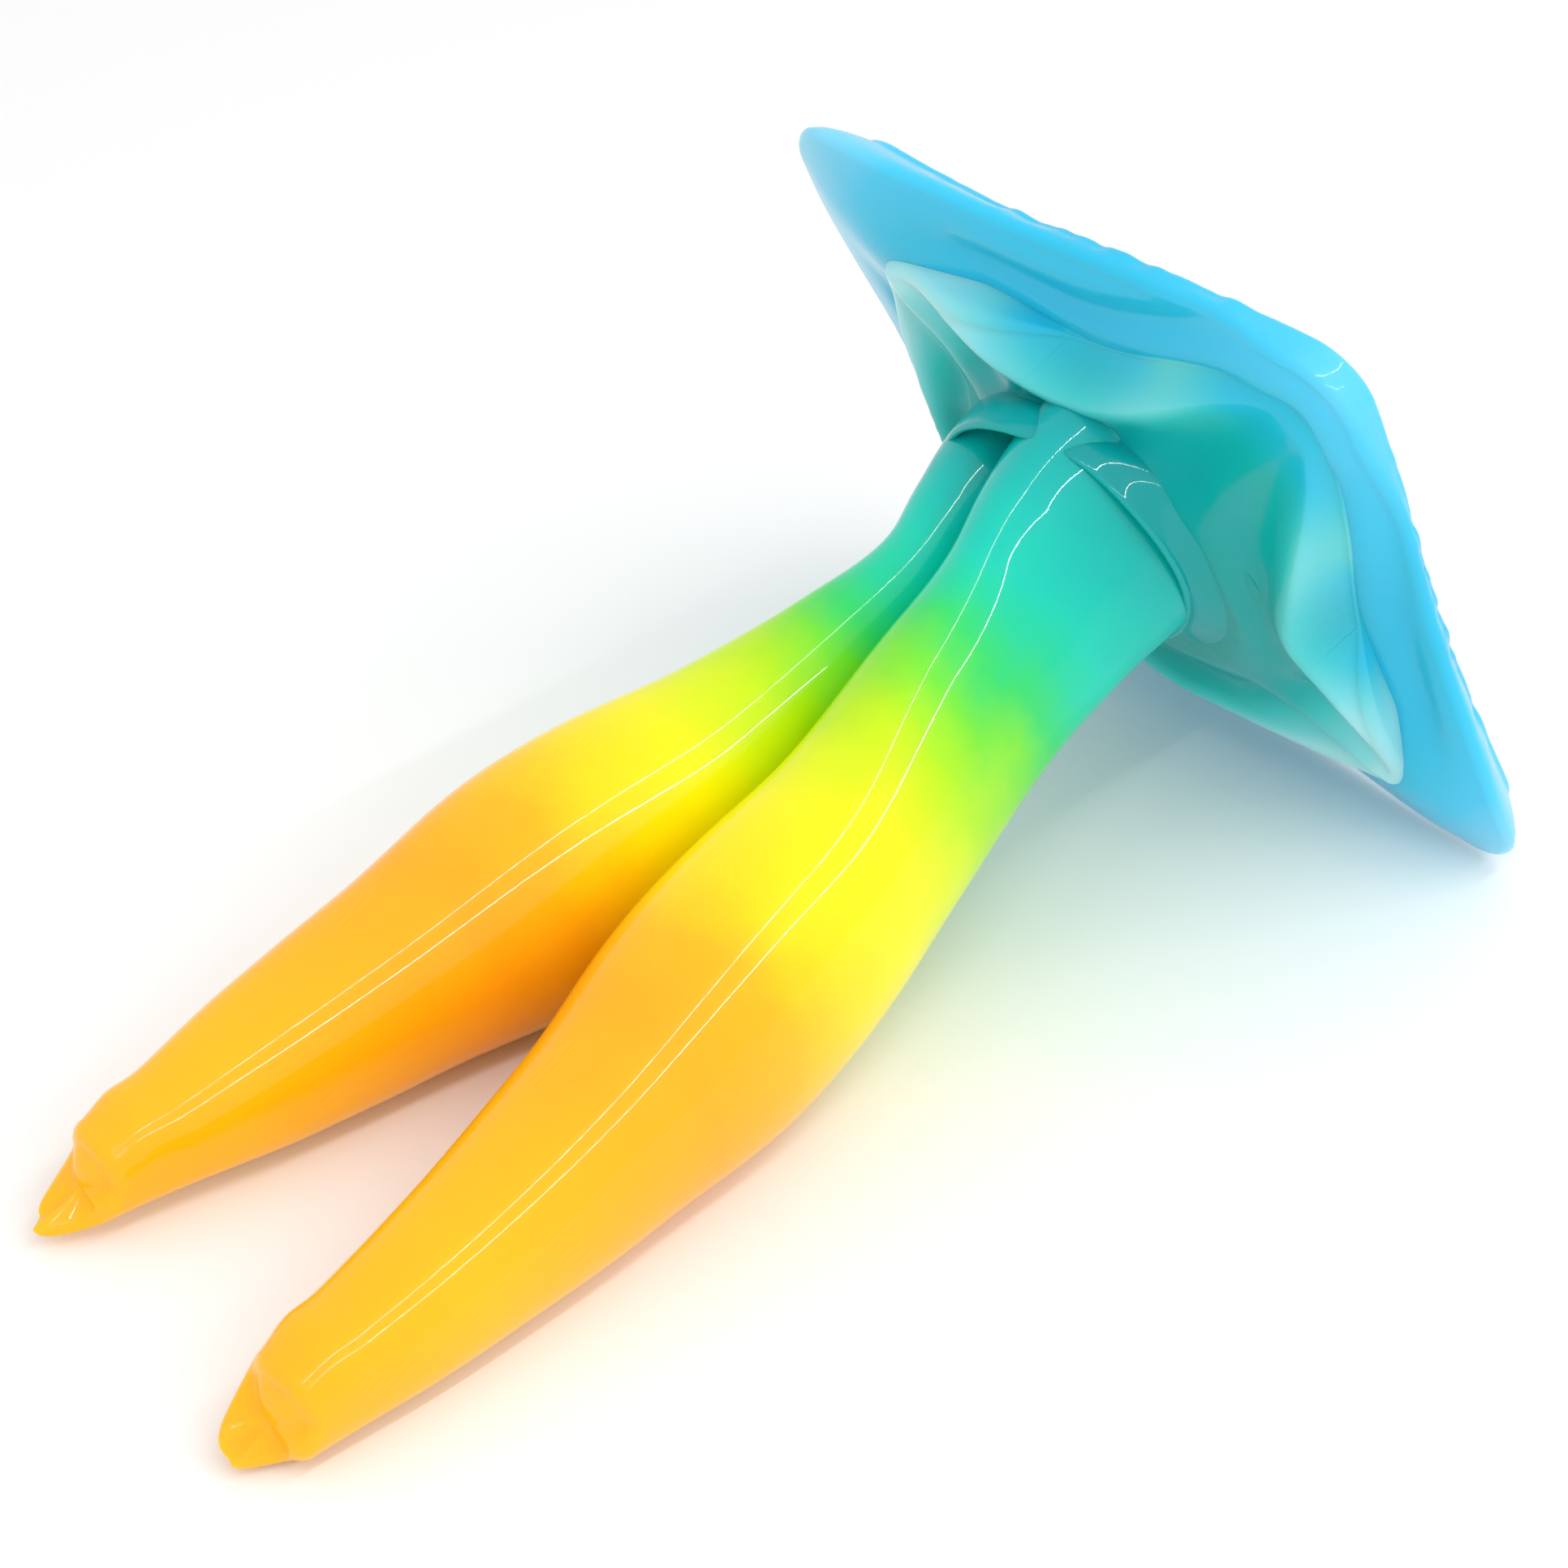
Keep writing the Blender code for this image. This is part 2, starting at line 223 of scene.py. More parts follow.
def siliconeMaterial(name, mark, stops, tint=None):
    # Platinum cured silicone rubber, cast in a smooth mould: a glossy skin over a body that light enters, and
    # colours that run into each other. The mark is a point's place along the pour, and slow noise shifts it.
    material = bpy.data.materials.new(name)
    material.use_nodes = True
    tree = material.node_tree
    shader = tree.nodes["Principled BSDF"]
    place = addNode(tree, "ShaderNodeTexCoord").outputs["Object"]
    along = addNode(tree, "ShaderNodeAttribute", {"attribute_name": mark}).outputs["Fac"]
    cloud = addNode(tree, "ShaderNodeTexNoise",
                    {"Scale": 1 / (silicone["cloud"] * mm), "Detail": 3, "Roughness": 0.5}, {"Vector": place})
    centred = addNode(tree, "ShaderNodeMath", {"operation": "SUBTRACT", 1: 0.5}, {0: cloud.outputs["Fac"]})
    uneven = addNode(tree, "ShaderNodeMath", {"operation": "MULTIPLY", 1: silicone["stirred"]},
                     {0: centred.outputs[0]})
    level = addNode(tree, "ShaderNodeMath", {"operation": "ADD"}, {0: along, 1: uneven.outputs[0]})
    colour = addRamp(tree, level.outputs[0], stops)
    if tint:
        amount = addNode(tree, "ShaderNodeAttribute", {"attribute_name": tint[0]}).outputs["Fac"]
        second = addRamp(tree, level.outputs[0], tint[1])
        mix = addNode(tree, "ShaderNodeMix", {"data_type": "RGBA"}, {"Factor": amount})
        tree.links.new(colour, mix.inputs[6])
        tree.links.new(second, mix.inputs[7])
        colour = mix.outputs[2]
    tree.links.new(colour, shader.inputs["Base Color"])
    away = addNode(tree, "ShaderNodeAttribute", {"attribute_name": "awayFromSeam"}).outputs["Fac"]
    tree.links.new(away, shader.inputs["Subsurface Weight"])
    layers = addNode(tree, "ShaderNodeTexNoise",
                     {"Scale": 1 / (silicone["layer"] * mm), "Detail": 2, "Roughness": 0.6},
                     {"Vector": place})
    puckers = addNode(tree, "ShaderNodeTexNoise",
                      {"Scale": 1 / (silicone["pucker"] * mm), "Detail": 1, "Roughness": 0.4},
                      {"Vector": place})
    coarse = addNode(tree, "ShaderNodeBump", {"Strength": 1, "Distance": silicone["puckerHeight"] * mm},
                     {"Height": puckers.outputs["Fac"]})
    fine = addNode(tree, "ShaderNodeBump", {"Strength": 1, "Distance": silicone["step"] * mm},
                   {"Height": layers.outputs["Fac"], "Normal": coarse.outputs["Normal"]})
    tree.links.new(fine.outputs["Normal"], shader.inputs["Normal"])
    fixed = {
        "Roughness": silicone["roughness"],
        "IOR": silicone["ior"],
        "Specular IOR Level": silicone["shine"],
        "Coat Weight": silicone["gloss"],
        "Coat Roughness": silicone["glossRoughness"],
        "Subsurface Scale": silicone["depth"],
        "Subsurface Radius": (1, 1, 1),
    }
    for socket, value in fixed.items():
        shader.inputs[socket].default_value = value
    return material


armColours = [  # by distance from the star's middle, over 180 mm
    (0.04, "#0a9fa6"), (0.12, "#02bdb2"), (0.165, "#03ccb2"), (0.2, "#14cf9a"), (0.232, "#34d368"),
    (0.262, "#74dd34"), (0.3, "#b2e40c"), (0.345, "#daec09"), (0.4, "#f4ea03"), (0.47, "#fcd905"),
    (0.53, "#feb80e"), (0.6, "#ffac11"), (0.68, "#ffb20e"), (0.8, "#fdba0c"), (0.95, "#feb410"),
]
blueColours = [  # by distance from the star's middle, over 70 mm
    (0.0, "#07a8ab"), (0.42, "#0fb2cc"), (0.54, "#1fb6dd"),
    (0.68, "#2bbce3"), (0.84, "#45c4ec"), (1.0, "#8dd3ef"),
]
tealColours = [  # from the neck over the crest and out to the tip of a leaf
    (0.0, "#04a09f"), (0.14, "#05a0a2"), (0.34, "#0cadad"),
    (0.54, "#3cc4c6"), (0.76, "#74d2da"), (1.0, "#a9e0e8"),
]
bluerColours = [  # the same where it runs into the star
    (0.0, "#05a0a6"), (0.3, "#10aebf"), (0.54, "#22b8de"), (1.0, "#46c4ea"),
]

blueSilicone = siliconeMaterial("blueCastSilicone", "reach", blueColours)
tealSilicone = siliconeMaterial("tealCastSilicone", "reach", tealColours, ("blue", bluerColours))
armSilicone = siliconeMaterial("pouredRainbowSilicone", "reach", armColours)
print("silicone mixed")


# Lists of four go round from the lower right point: upper right, upper left, lower left. A waist is what the
# outline between that point and the next is pulled in by.
star = {
    "reach": [69, 61.5, 69, 67.5],
    "cornerRound": [7.5, 8.5, 7.5, 13],
    "waist": [3.6, 0.9, 0.6, 0.6],
    "back": -6.0,           # height of its back face
    "dish": 0.4,            # how far the back's middle is hollowed
    # In eight directions from the lower right point: height of the rim, and how far the back is cut in
    # under it.
    "rim": [1.0, -3.2, -2.0, -3.4, 1.2, -0.6, 0.4, -1.6],
    "bevel": [5.4, 0.6, 1.0, 0.6, 7.0, 2.2, 3.6, 1.6],
    "crown": 1.2,           # height of the front inside the shoulder
    "shoulder": 4.2,        # mm in from the rim for most of the rise
    "ridge": 1.8,           # the low ridge along each point
    "ridgeWidth": 9,
    "ridgeFrom": 30,
    "ridgeTo": 66,
    "groove": 1.7,          # the dent that runs outside the leaves
    "grooveAway": 5.0,      # mm from their outline
    "grooveWidth": 2.6,
    "rimRound": 1.5,
    "backRound": 0.9,
    "colourSpan": 70,
    "cut": 36.5,            # from the middle to where each point starts
    "bend": 10.0,           # the length that bends, from the cut outwards
    "ripple": [(0.17, 31, 0.3), (0.13, 47, 1.9), (0.07, 71, 0.7), (0.04, 103, 2.2)],
}
leaves = {
    "reach": [51.5, 57, 49, 49],
    "cornerRound": [5.2, 7, 5.2, 7],
    "waist": [4.2, 4.2, 1.4, 1.4],
    "under": 0.2,           # height of the back, which lies on the star
    "sink": 1.2,            # how far it sinks below that under the upper right leaf
    "bevel": [0.0] * 8,     # the back isn't cut in
    "ripple": [(0.1, 11, 0.5), (0.06, 23, 1.2)],
    # All in sixteen directions, from the lower right leaf round by the upper right one: height of the crest,
    # how far in from the outline it runs, and the height where the slope outside it ends in the rim.
    "crest": [5.4, 8.0, 9.8, 7.8, 2.6, 6.6, 8.4, 9.2, 6.0, 9.4, 11.0, 9.2, 4.6, 8.6, 10.4, 8.4],
    "inset": [2.6, 3.4, 5.0, 5.0, 3.0, 5.0, 5.0, 3.4, 2.6, 3.6, 4.6, 4.6, 2.8, 4.6, 4.6, 3.4],
    "rimTop": [4.6, 3.0, 0.7, 0.5, 0.8, 0.5, 0.7, 3.0, 5.2, 4.6, 2.6, 2.2, 3.2, 2.2, 2.6, 4.2],
    "foot": 9.6,            # height where the neck stands
    "footReach": 21.5,
    "dip": 1.8,             # how far the floor between neck and crest sinks
    "fan": 1.0,             # and how much more towards the upper right leaf
    "floor": 3.0,           # it never sinks below this, so that the star doesn't show through
    "leafRidge": 0.9,
    "valley": 1.3,          # the two folds that run up each leaf beside its middle
    "webRound": 2.4,
    "tipRound": 2.5,
    "backRound": 0.6,
    "cut": 26.8,
    "bend": 7.0,
}


def hullRadius(angle, reach, cornerRound, waist):
    # The outline of a band stretched round four discs, one on each axis: an arc at each corner and a straight
    # line that touches two neighbours, then pulled in by that quarter's waist halfway along.
    reach, cornerRound = np.array(reach, float), np.array(cornerRound, float)
    quarter = np.floor(angle / (np.pi / 2)).astype(int) % 4
    turn = angle % (np.pi / 2)
    nearRound, farRound = cornerRound[quarter], cornerRound[(quarter + 1) % 4]
    near, far = reach[quarter] - nearRound, reach[(quarter + 1) % 4] - farRound
    slant = np.arccos((farRound - nearRound) / np.hypot(near, far)) - np.arctan2(far, near)
    first = np.arctan2(nearRound * np.sin(slant), near + nearRound * np.cos(slant))
    last = np.arctan2(far + farRound * np.sin(slant), farRound * np.cos(slant))
    nearArc = near * np.cos(turn) + np.sqrt(np.maximum(nearRound ** 2 - (near * np.sin(turn)) ** 2, 0))
    farArc = far * np.sin(turn) + np.sqrt(np.maximum(farRound ** 2 - (far * np.cos(turn)) ** 2, 0))
    edge = (near * np.cos(slant) + nearRound) / np.cos(turn - slant)
    radius = np.where(turn < first, nearArc, np.where(turn > last, farArc, edge))
    return radius - np.array(waist)[quarter] * np.sin(2 * angle) ** 2


def slabGrid(sizes, frontHeight, backHeight, rimSize):
    # A slab in rows from the middle of its front, out over the round rim and back to the middle of its back.
    columns = 560
    even = np.arange(columns) / columns * 2 * np.pi
    angle = even - 0.7 / 4 * np.sin(4 * even)  # closer together at the corners
    radius = hullRadius(angle, sizes["reach"], sizes["cornerRound"], sizes["waist"])
    rimRound = rimSize(angle)
    inner = radius - rimRound
    ripples = wave(angle, sizes["ripple"]) * smooth(np.sin(2 * angle) ** 2 * 3)
    bevel = around(sizes["bevel"], angle)

    def place(distance):
        return distance * np.cos(angle), distance * np.sin(angle)

    rows = []
    for part in np.linspace(0.015, 1, 72):
        a, b = place(part * inner)
        rows.append((a, b, frontHeight(a, b, radius)))
    rimHeight = rows[-1][2]
    for turn in np.radians(np.linspace(78, 0, 9)):
        a, b = place(inner + rimRound * np.cos(turn))
        rows.append((a, b, rimHeight - rimRound * (1 - np.sin(turn))))
    backRadius = radius + ripples - bevel
    corner = backRadius - sizes["backRound"]
    underside = backHeight(*place(corner))
    wallTop = rows[-1][2]
    for part in (0.25, 0.5, 0.75):
        a, b = place(radius + (backRadius - radius) * part ** 1.4)
        rows.append((a, b, wallTop + (underside + sizes["backRound"] - wallTop) * part))
    for turn in np.radians(np.linspace(0, -90, 5)):
        a, b = place(corner + sizes["backRound"] * np.cos(turn))
        rows.append((a, b, underside + sizes["backRound"] * (1 + np.sin(turn))))
    for part in np.linspace(0.985, 0.02, 34):
        a, b = place(part * corner)
        rows.append((a, b, backHeight(a, b)))
    return np.array(rows).transpose(0, 2, 1)  # rows, columns, (a, b, height)


def around(values, angle):
    # A smooth closed curve through values at even angles: each stretch is a cubic that meets the next evenly.
    values = np.array(values, float)
    count = len(values)
    step = (angle / (2 * np.pi) * count) % count
    i = np.floor(step).astype(int)
    t = step - i
    before, start, end, after = [values[(i + shift) % count] for shift in (-1, 0, 1, 2)]
    return start + t / 2 * (end - before + t * (2 * before - 5 * start + 4 * end - after
                                                + t * (3 * (start - end) + after - before)))


def starFront(a, b, radius):
    # Up from the thin rim over a round shoulder, plus a low ridge along each point, less a groove outside the
    # leaves, plus a slow wave.
    distance = np.hypot(a, b)
    angle = np.arctan2(b, a) % (2 * np.pi)
    rim = around(star["rim"], angle)
    top = np.maximum(star["crown"], rim + 1.6)
    height = rim + (top - rim) * (1 - np.exp(-(radius - distance) / star["shoulder"]))
    along, across = np.maximum(np.abs(a), np.abs(b)), np.minimum(np.abs(a), np.abs(b))
    onRidge = smooth((star["ridgeTo"] - along) / 16) * smooth((along - star["ridgeFrom"]) / 12)
    height += star["ridge"] * bump(across, star["ridgeWidth"]) * onRidge
    tier = hullRadius(angle, leaves["reach"], leaves["cornerRound"], leaves["waist"])
    web = smooth(np.sin(2 * angle) ** 2 * 1.6)
    height -= star["groove"] * bump(distance - tier - star["grooveAway"], star["grooveWidth"]) * web
    return height + 0.2 * wave(distance / 6 + 2 * angle, [(0.5, 1, 0.4), (0.3, 2, 1.0)])


def starRim(angle):
    return np.full_like(angle, star["rimRound"])


def starBack(a, b):
    # Flat, a little hollow inside, with a faint raised line just within the edge.
    distance = np.hypot(a, b)
    angle = np.arctan2(b, a) % (2 * np.pi)
    part = distance / hullRadius(angle, star["reach"], star["cornerRound"], star["waist"])
    return star["back"] + star["dish"] * smooth((1 - part) * 9) - 0.12 * bump(part - 0.97, 0.02)


def leafFront(a, b, radius):
    # From the foot of the neck over a sunk floor to the crest, then down: a steep wall at each leaf, and
    # between the leaves a slope that runs out onto the star.
    distance = np.hypot(a, b)
    angle = np.arctan2(b, a) % (2 * np.pi)
    crest, rimTop = around(leaves["crest"], angle), around(leaves["rimTop"], angle)
    crestReach = radius - around(leaves["inset"], angle)
    share = np.clip((distance - leaves["footReach"]) / (crestReach - leaves["footReach"]), 0, 1)
    towardsUpper = bump(np.abs(angle - np.pi / 2), 0.5)
    height = leaves["foot"] + (crest - leaves["foot"]) * smooth(share) ** 1.2
    height -= (leaves["dip"] + leaves["fan"] * towardsUpper) * np.sin(np.pi * share ** 0.9) ** 2
    across = np.minimum(np.abs(a), np.abs(b))
    onLeaf = smooth((distance - 26) / 8) * smooth((radius - distance) / 5)
    height += leaves["leafRidge"] * bump(across, 3.4) * onLeaf
    fold = bump(across - 6.2 * smooth((58 - distance) / 24), 2.4)
    height -= leaves["valley"] * fold * onLeaf * (1 - towardsUpper)
    height = np.maximum(height, leaves["floor"])
    outside = np.clip((distance - crestReach) / (radius - crestReach), 0, 1)
    return height + (rimTop - crest) * smooth(outside * 0.92) ** 0.9


def leafBack(a, b):
    # Flat on the star, and sunk a little where the star's point hangs.
    return np.full_like(a, leaves["under"]) - leaves["sink"] * smooth(b / 20 - 1)


def leafRim(angle):
    # Rounder at the tips than between them, and never more than the rim's height allows.
    towardsTip = np.abs(np.cos(2 * angle)) ** 3
    size = leaves["webRound"] + (leaves["tipRound"] - leaves["webRound"]) * towardsTip
    room = around(leaves["rimTop"], angle) - leaves["under"]
    return np.minimum(size, np.maximum(0.6 * room, 0.5))


def leafMarks(a, b):
    # The place in the teal colours, which rises over the crest and along each leaf, with a painted highlight
    # as a lighter band right along the crest; and the share of blue, which rises outside the crest between
    # the leaves and on the upper right leaf.
    distance = np.hypot(a, b)
    angle = np.arctan2(b, a) % (2 * np.pi)
    radius = hullRadius(angle, leaves["reach"], leaves["cornerRound"], leaves["waist"])
    crestReach = radius - around(leaves["inset"], angle)
    toCrest = smooth((distance - 25) / (crestReach - 25))
    along = np.maximum(np.abs(a), np.abs(b))
    upper = bump(np.abs(angle - np.pi / 2), 0.42)
    leaf = smooth((along - 24) / 20) * (1 - upper)
    # painted highlight: a narrow band along the crest is pushed lighter in the teal colours
    edge = bump(distance - crestReach, 2.2)
    outside = smooth((distance - crestReach - 0.6) / (radius - crestReach))
    reach = 0.1 + 0.3 * toCrest + 0.44 * leaf + 0.2 * edge * (1 - upper * 0.6)
    blue = np.clip(outside * (1 - smooth((along - 30) / 8)) + upper * smooth((distance - 40) / 10), 0, 1)
    return reach, blue


def cutSlab(grid, sizes, kind, coreNode, material):
    # One slab in five pieces: the middle, and four outside their cuts.
    a, b, height = grid[..., 0], grid[..., 1], grid[..., 2]
    if kind == "leaf":
        reach, blue = leafMarks(a, b)
    else:
        reach = np.maximum(np.hypot(a, b) / star["colourSpan"], 0.64 * smooth(-3.4 - height))  # a blue back
        blue = np.zeros_like(a)
    fromCut = np.abs(np.maximum(np.abs(a), np.abs(b)) - sizes["cut"])
    marks = {
        "reach": withPoles(reach),
        "blue": withPoles(blue),
        "awayFromSeam": withPoles(silicone["insideStar"] * smooth(fromCut / silicone["seam"])),
    }
    places = withPoles(starPlace(a, b, height))
    whole = buildMesh(f"{kind}_whole", places, closedFaces(*a.shape), marks)
    planes = [(starMiddle + sizes["cut"] * out, -out) for out in outward]
    core = buildPiece(coreNode + "_skin", cutMesh(whole, coreNode + "_skin", planes), material)
    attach(core, "star_base")
    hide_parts(coreNode)
    hinges = pointHinges if kind == "point" else leafHinges
    for quarter, out, place in zip(quarters, outward, hinges):
        name = f"{quarter}_{kind}"
        mesh = cutMesh(whole, name + "_skin", [(starMiddle + sizes["cut"] * out, out)])
        piece = buildPiece(name + "_skin", mesh, material)
        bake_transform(piece)
        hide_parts(name)
    bpy.data.meshes.remove(whole)
    print(kind, "pieces cut")


starGrid = slabGrid(star, starFront, starBack, starRim)
cutSlab(starGrid, star, "point", "star_pad", blueSilicone)
leafGrid = slabGrid(leaves, leafFront, leafBack, leafRim)
cutSlab(leafGrid, leaves, "leaf", "leaf_ring", tealSilicone)


arms = {
    # Distance from the star, then x and height of the right arm, x and height of the left arm, and the half
    # sizes towards the other arm and across it.
    "stations": [
        (2, 6.4, 61.2, -9.6, 50.4, 8.6, 16.6),
        (8, 5.9, 57.6, -9.2, 47.8, 8.8, 17.4),
        (14, 5.5, 54.3, -8.6, 45.6, 8.8, 17.9),
        (22, 5.4, 49.7, -7.8, 41.9, 7.7, 17.0),
        (30, 6.0, 44.9, -7.2, 38.3, 6.9, 15.8),
        (46, 7.5, 37.2, -11.2, 31.0, 9.2, 15.2),
        (63, 9.7, 28.5, -16.2, 24.6, 12.2, 15.2),
        (91, 13.2, 18.6, -20.8, 17.8, 15.0, 17.5),
        (118, 17.8, 13.6, -22.6, 13.4, 12.0, 13.0),
        (145, 21.3, 10.4, -23.6, 10.0, 9.2, 9.4),
        (163, 22.4, 8.0, -24.4, 7.4, 7.0, 7.2),
        (171.5, 22.8, 6.4, -25.0, 6.0, 5.6, 5.8),
    ],
    "colourSpan": 180,
    "squareness": 2.25,     # 2 is an ellipse
    "ridges": [(62, 0.022, 16), (118, 0.018, 14), (205, 0.02, 18), (318, 0.018, 20)],  # degrees, rise, width
    "mouth": {"right": 165.5, "left": 159.5},  # where the closed end starts
    "slim": {"right": 1.0, "left": 0.82},      # the end's size against that of the stations
    "longWay": {"right": (-0.85, 0.0, -0.8), "left": (-0.4, 0.0, -1.0)},  # where the long lobe lies
    "shortWay": (0.75, 0.0, -1.0),
    "longLobe": 7.8,
    "shortLobe": 2.8,
    "endRound": 2.4,
    "shoulder": 0.9,        # the low roll over the top, just behind the end
    "begin": 3.0,
    "cuts": [66, 112],      # between stem and belly, and between belly and end
    "bends": {"stem": (22, 46), "belly": (70, 106), "end": (118, 150)},  # the lengths that bend
    "rows": {"stem": 150, "belly": 110, "end": 130},
}


def armShape(side, distance):
    # Middle, direction along, away from the other arm, across, and half sizes, on a cubic curve through the
    # stations whose slope at each is a mean of its two sides.
    table = np.array(arms["stations"], float)
    stops, values = table[:, 0], table[:, 1:]
    slopes = np.gradient(values, stops, axis=0)
    i = np.clip(np.searchsorted(stops, distance) - 1, 0, len(stops) - 2)
    span = (stops[i + 1] - stops[i])[:, None]
    t = ((distance - stops[i]) / span[:, 0])[:, None]
    row = ((1 + 2 * t) * (1 - t) ** 2 * values[i] + t * (1 - t) ** 2 * span * slopes[i]
           + t ** 2 * (3 - 2 * t) * values[i + 1] + t ** 2 * (t - 1) * span * slopes[i + 1])
    depth = starMiddle[1] - distance
    right = np.stack([row[:, 0], depth, row[:, 1]], axis=-1)
    left = np.stack([row[:, 2], depth, row[:, 3]], axis=-1)
    middle = right if side == "right" else left
    along = unit(np.gradient(middle, distance, axis=0))
    apart = (right - left) if side == "right" else (left - right)
    apart = unit(apart - (apart * along).sum(axis=1, keepdims=True) * along)
    return middle, along, apart, np.cross(along, apart), row[:, 4], row[:, 5]


def armGrid(side, start, end, rows, isTip):
    # Rings of a rounded square round the middle line, with four low ridges along it and a slow swell.
    columns = 168
    turn = np.arange(columns) / columns * 2 * np.pi
    distance = np.linspace(start, end, rows)
    fine = np.linspace(start - 2, end + 2, 6 * rows)
    shapes = armShape(side, fine)
    middle, along, apart, across = [
        np.stack([np.interp(distance, fine, part[:, i]) for i in range(3)], axis=-1) for part in shapes[:4]]
    wide, high = [np.interp(distance, fine, part) for part in shapes[4:]]
    power = 2 / arms["squareness"]
    c = np.sign(np.cos(turn)) * np.abs(np.cos(turn)) ** power
    s = np.sign(np.sin(turn)) * np.abs(np.sin(turn)) ** power
    up = 1 if side == "right" else -1  # the left arm's third direction points down
    lift = 1 + np.zeros(columns)
    for place, rise, width in arms["ridges"]:
        away = (np.degrees(up * turn) - place + 180) % 360 - 180
        lift = lift + rise * bump(away, width)
    offset = (wide[:, None, None] * (c * lift)[None, :, None] * apart[:, None, :]
              + high[:, None, None] * (s * lift)[None, :, None] * across[:, None, :])
    swell = 1 + 0.006 * wave(distance / 9, [(1, 1, 0.4), (0.7, 2.3, 1.1)])
    swell = swell * (1 + (arms["slim"][side] - 1) * smooth((distance - 135) / 26))
    offset = offset * swell[:, None, None]
    grid = middle[:, None, :] + offset
    mark = np.repeat(distance[:, None], columns, axis=1)
    if isTip:
        grid, mark = addMouth(side, grid, offset, middle, along, distance, mark)
    return grid, mark


def addMouth(side, grid, offset, middle, along, distance, mark):
    # The closed end is drawn out into a long lobe low on one side and a short one low on the other: a round
    # rim, then a face that runs from each lobe back to the middle.
    looks = unit(offset)
    longWay, shortWay = unit(np.array(arms["longWay"][side])), unit(np.array(arms["shortWay"]))
    reach = (arms["longLobe"] * smooth((looks @ longWay + 0.1) / 1.1) ** 2.2
             + arms["shortLobe"] * smooth((looks @ shortWay - 0.3) / 0.7))
    grow = smooth((distance - distance[-1] + 15) / 15) ** 1.5
    shoulder = arms["shoulder"] * bump(distance - distance[-1] + 4, 3.2)
    taper = 1 - 0.22 * (reach / arms["longLobe"]) * grow[:, None]
    grid = grid + (reach * grow[:, None])[..., None] * along[:, None, :] - (1 - taper)[..., None] * offset
    grid = grid + (shoulder[:, None] * smooth(looks[..., 2]))[..., None] * looks
    half = np.linalg.norm(offset[-1], axis=-1) * taper[-1]
    rows = []
    for turn in np.radians([18, 36, 54, 70, 82]):
        inset = 1 - arms["endRound"] * (1 - np.cos(turn)) / half
        rise = arms["endRound"] * np.sin(turn)
        rows.append(grid[-1] + (inset - 1)[:, None] * (grid[-1] - middle[-1] - reach[-1][:, None] * along[-1])
                    + rise * along[-1])
    rim = rows[-1]
    centre = middle[-1] + (0.5 * reach[-1].mean() + arms["endRound"] + 0.8) * along[-1]
    ahead = (rim - centre) @ along[-1]
    for part in (0.9, 0.78, 0.65, 0.52, 0.39, 0.26, 0.13):
        rows.append(centre + part * (rim - centre) - (ahead * (part - part ** 1.8))[:, None] * along[-1])
    endMarks = np.full((len(rows), mark.shape[1]), distance[-1])
    return np.concatenate([grid, np.array(rows)]), np.concatenate([mark, endMarks])


def buildArm(side):
    # Three closed lengths, end to end.
    first, second = arms["cuts"]
    parts = [
        ("stem", arms["begin"], first, ("root", "green", "lime", "yellow"), "pour_green"),
        ("belly", first, second, ("orange",), "pour_orange"),
        ("end", second, arms["mouth"][side], ("tip",), "pour_amber"),
    ]
    for i, (kind, start, end, nodes, slotName) in enumerate(parts):
        grid, mark = armGrid(side, start, end, arms["rows"][kind], kind == "end")
        away = np.minimum(np.abs(mark - first), np.abs(mark - second))
        marks = {
            "reach": withPoles(mark / arms["colourSpan"]),
            "awayFromSeam": withPoles(silicone["insideArm"] * smooth(away / silicone["seam"])),
        }
        name = f"{side}_arm_{kind}_skin"
        mesh = buildMesh(name, withPoles(grid), closedFaces(*mark.shape), marks)
        piece = buildPiece(name, mesh, armSilicone)
        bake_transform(piece)
        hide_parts(*[f"{side}_arm_{node}" for node in nodes])
    print(side, "arm poured")


for side in ("right", "left"):
    buildArm(side)


neck = {
    "footRadius": 26.5,
    "foot": 7.4,            # height where the sleeve starts to draw in
    "rimLow": 12.4,         # height of the rim on the upper right, where it runs into the arms
    "rimHigh": 14.2,        # and opposite
    "curl": 1.8,            # how much higher the lip stands towards the upper left point
    "wide": 19.3,           # half sizes of the oval round both arms
    "high": 20.6,
    "wall": 1.1,
    "lip": 0.6,
    "axisFrom": 16.0,       # where along the arms the sleeve takes its lean from
}


def neckRow(start, lean, apart, across, turn, height, foot, inset):
    # One ring: the oval round the arms at that height, drawn out by foot to a circle on the star.
    height = height[:, None]
    axis = start + (height - (start - starMiddle) @ forward) / (lean @ forward) * lean
    base = starMiddle + height * forward
    c, s = np.cos(turn)[:, None], np.sin(turn)[:, None]
    oval = axis + (neck["wide"] - inset) * c * apart + (neck["high"] - inset) * s * across
    flare = base + neck["footRadius"] * (c * apart + s * across)
    return oval * (1 - foot) + flare * foot


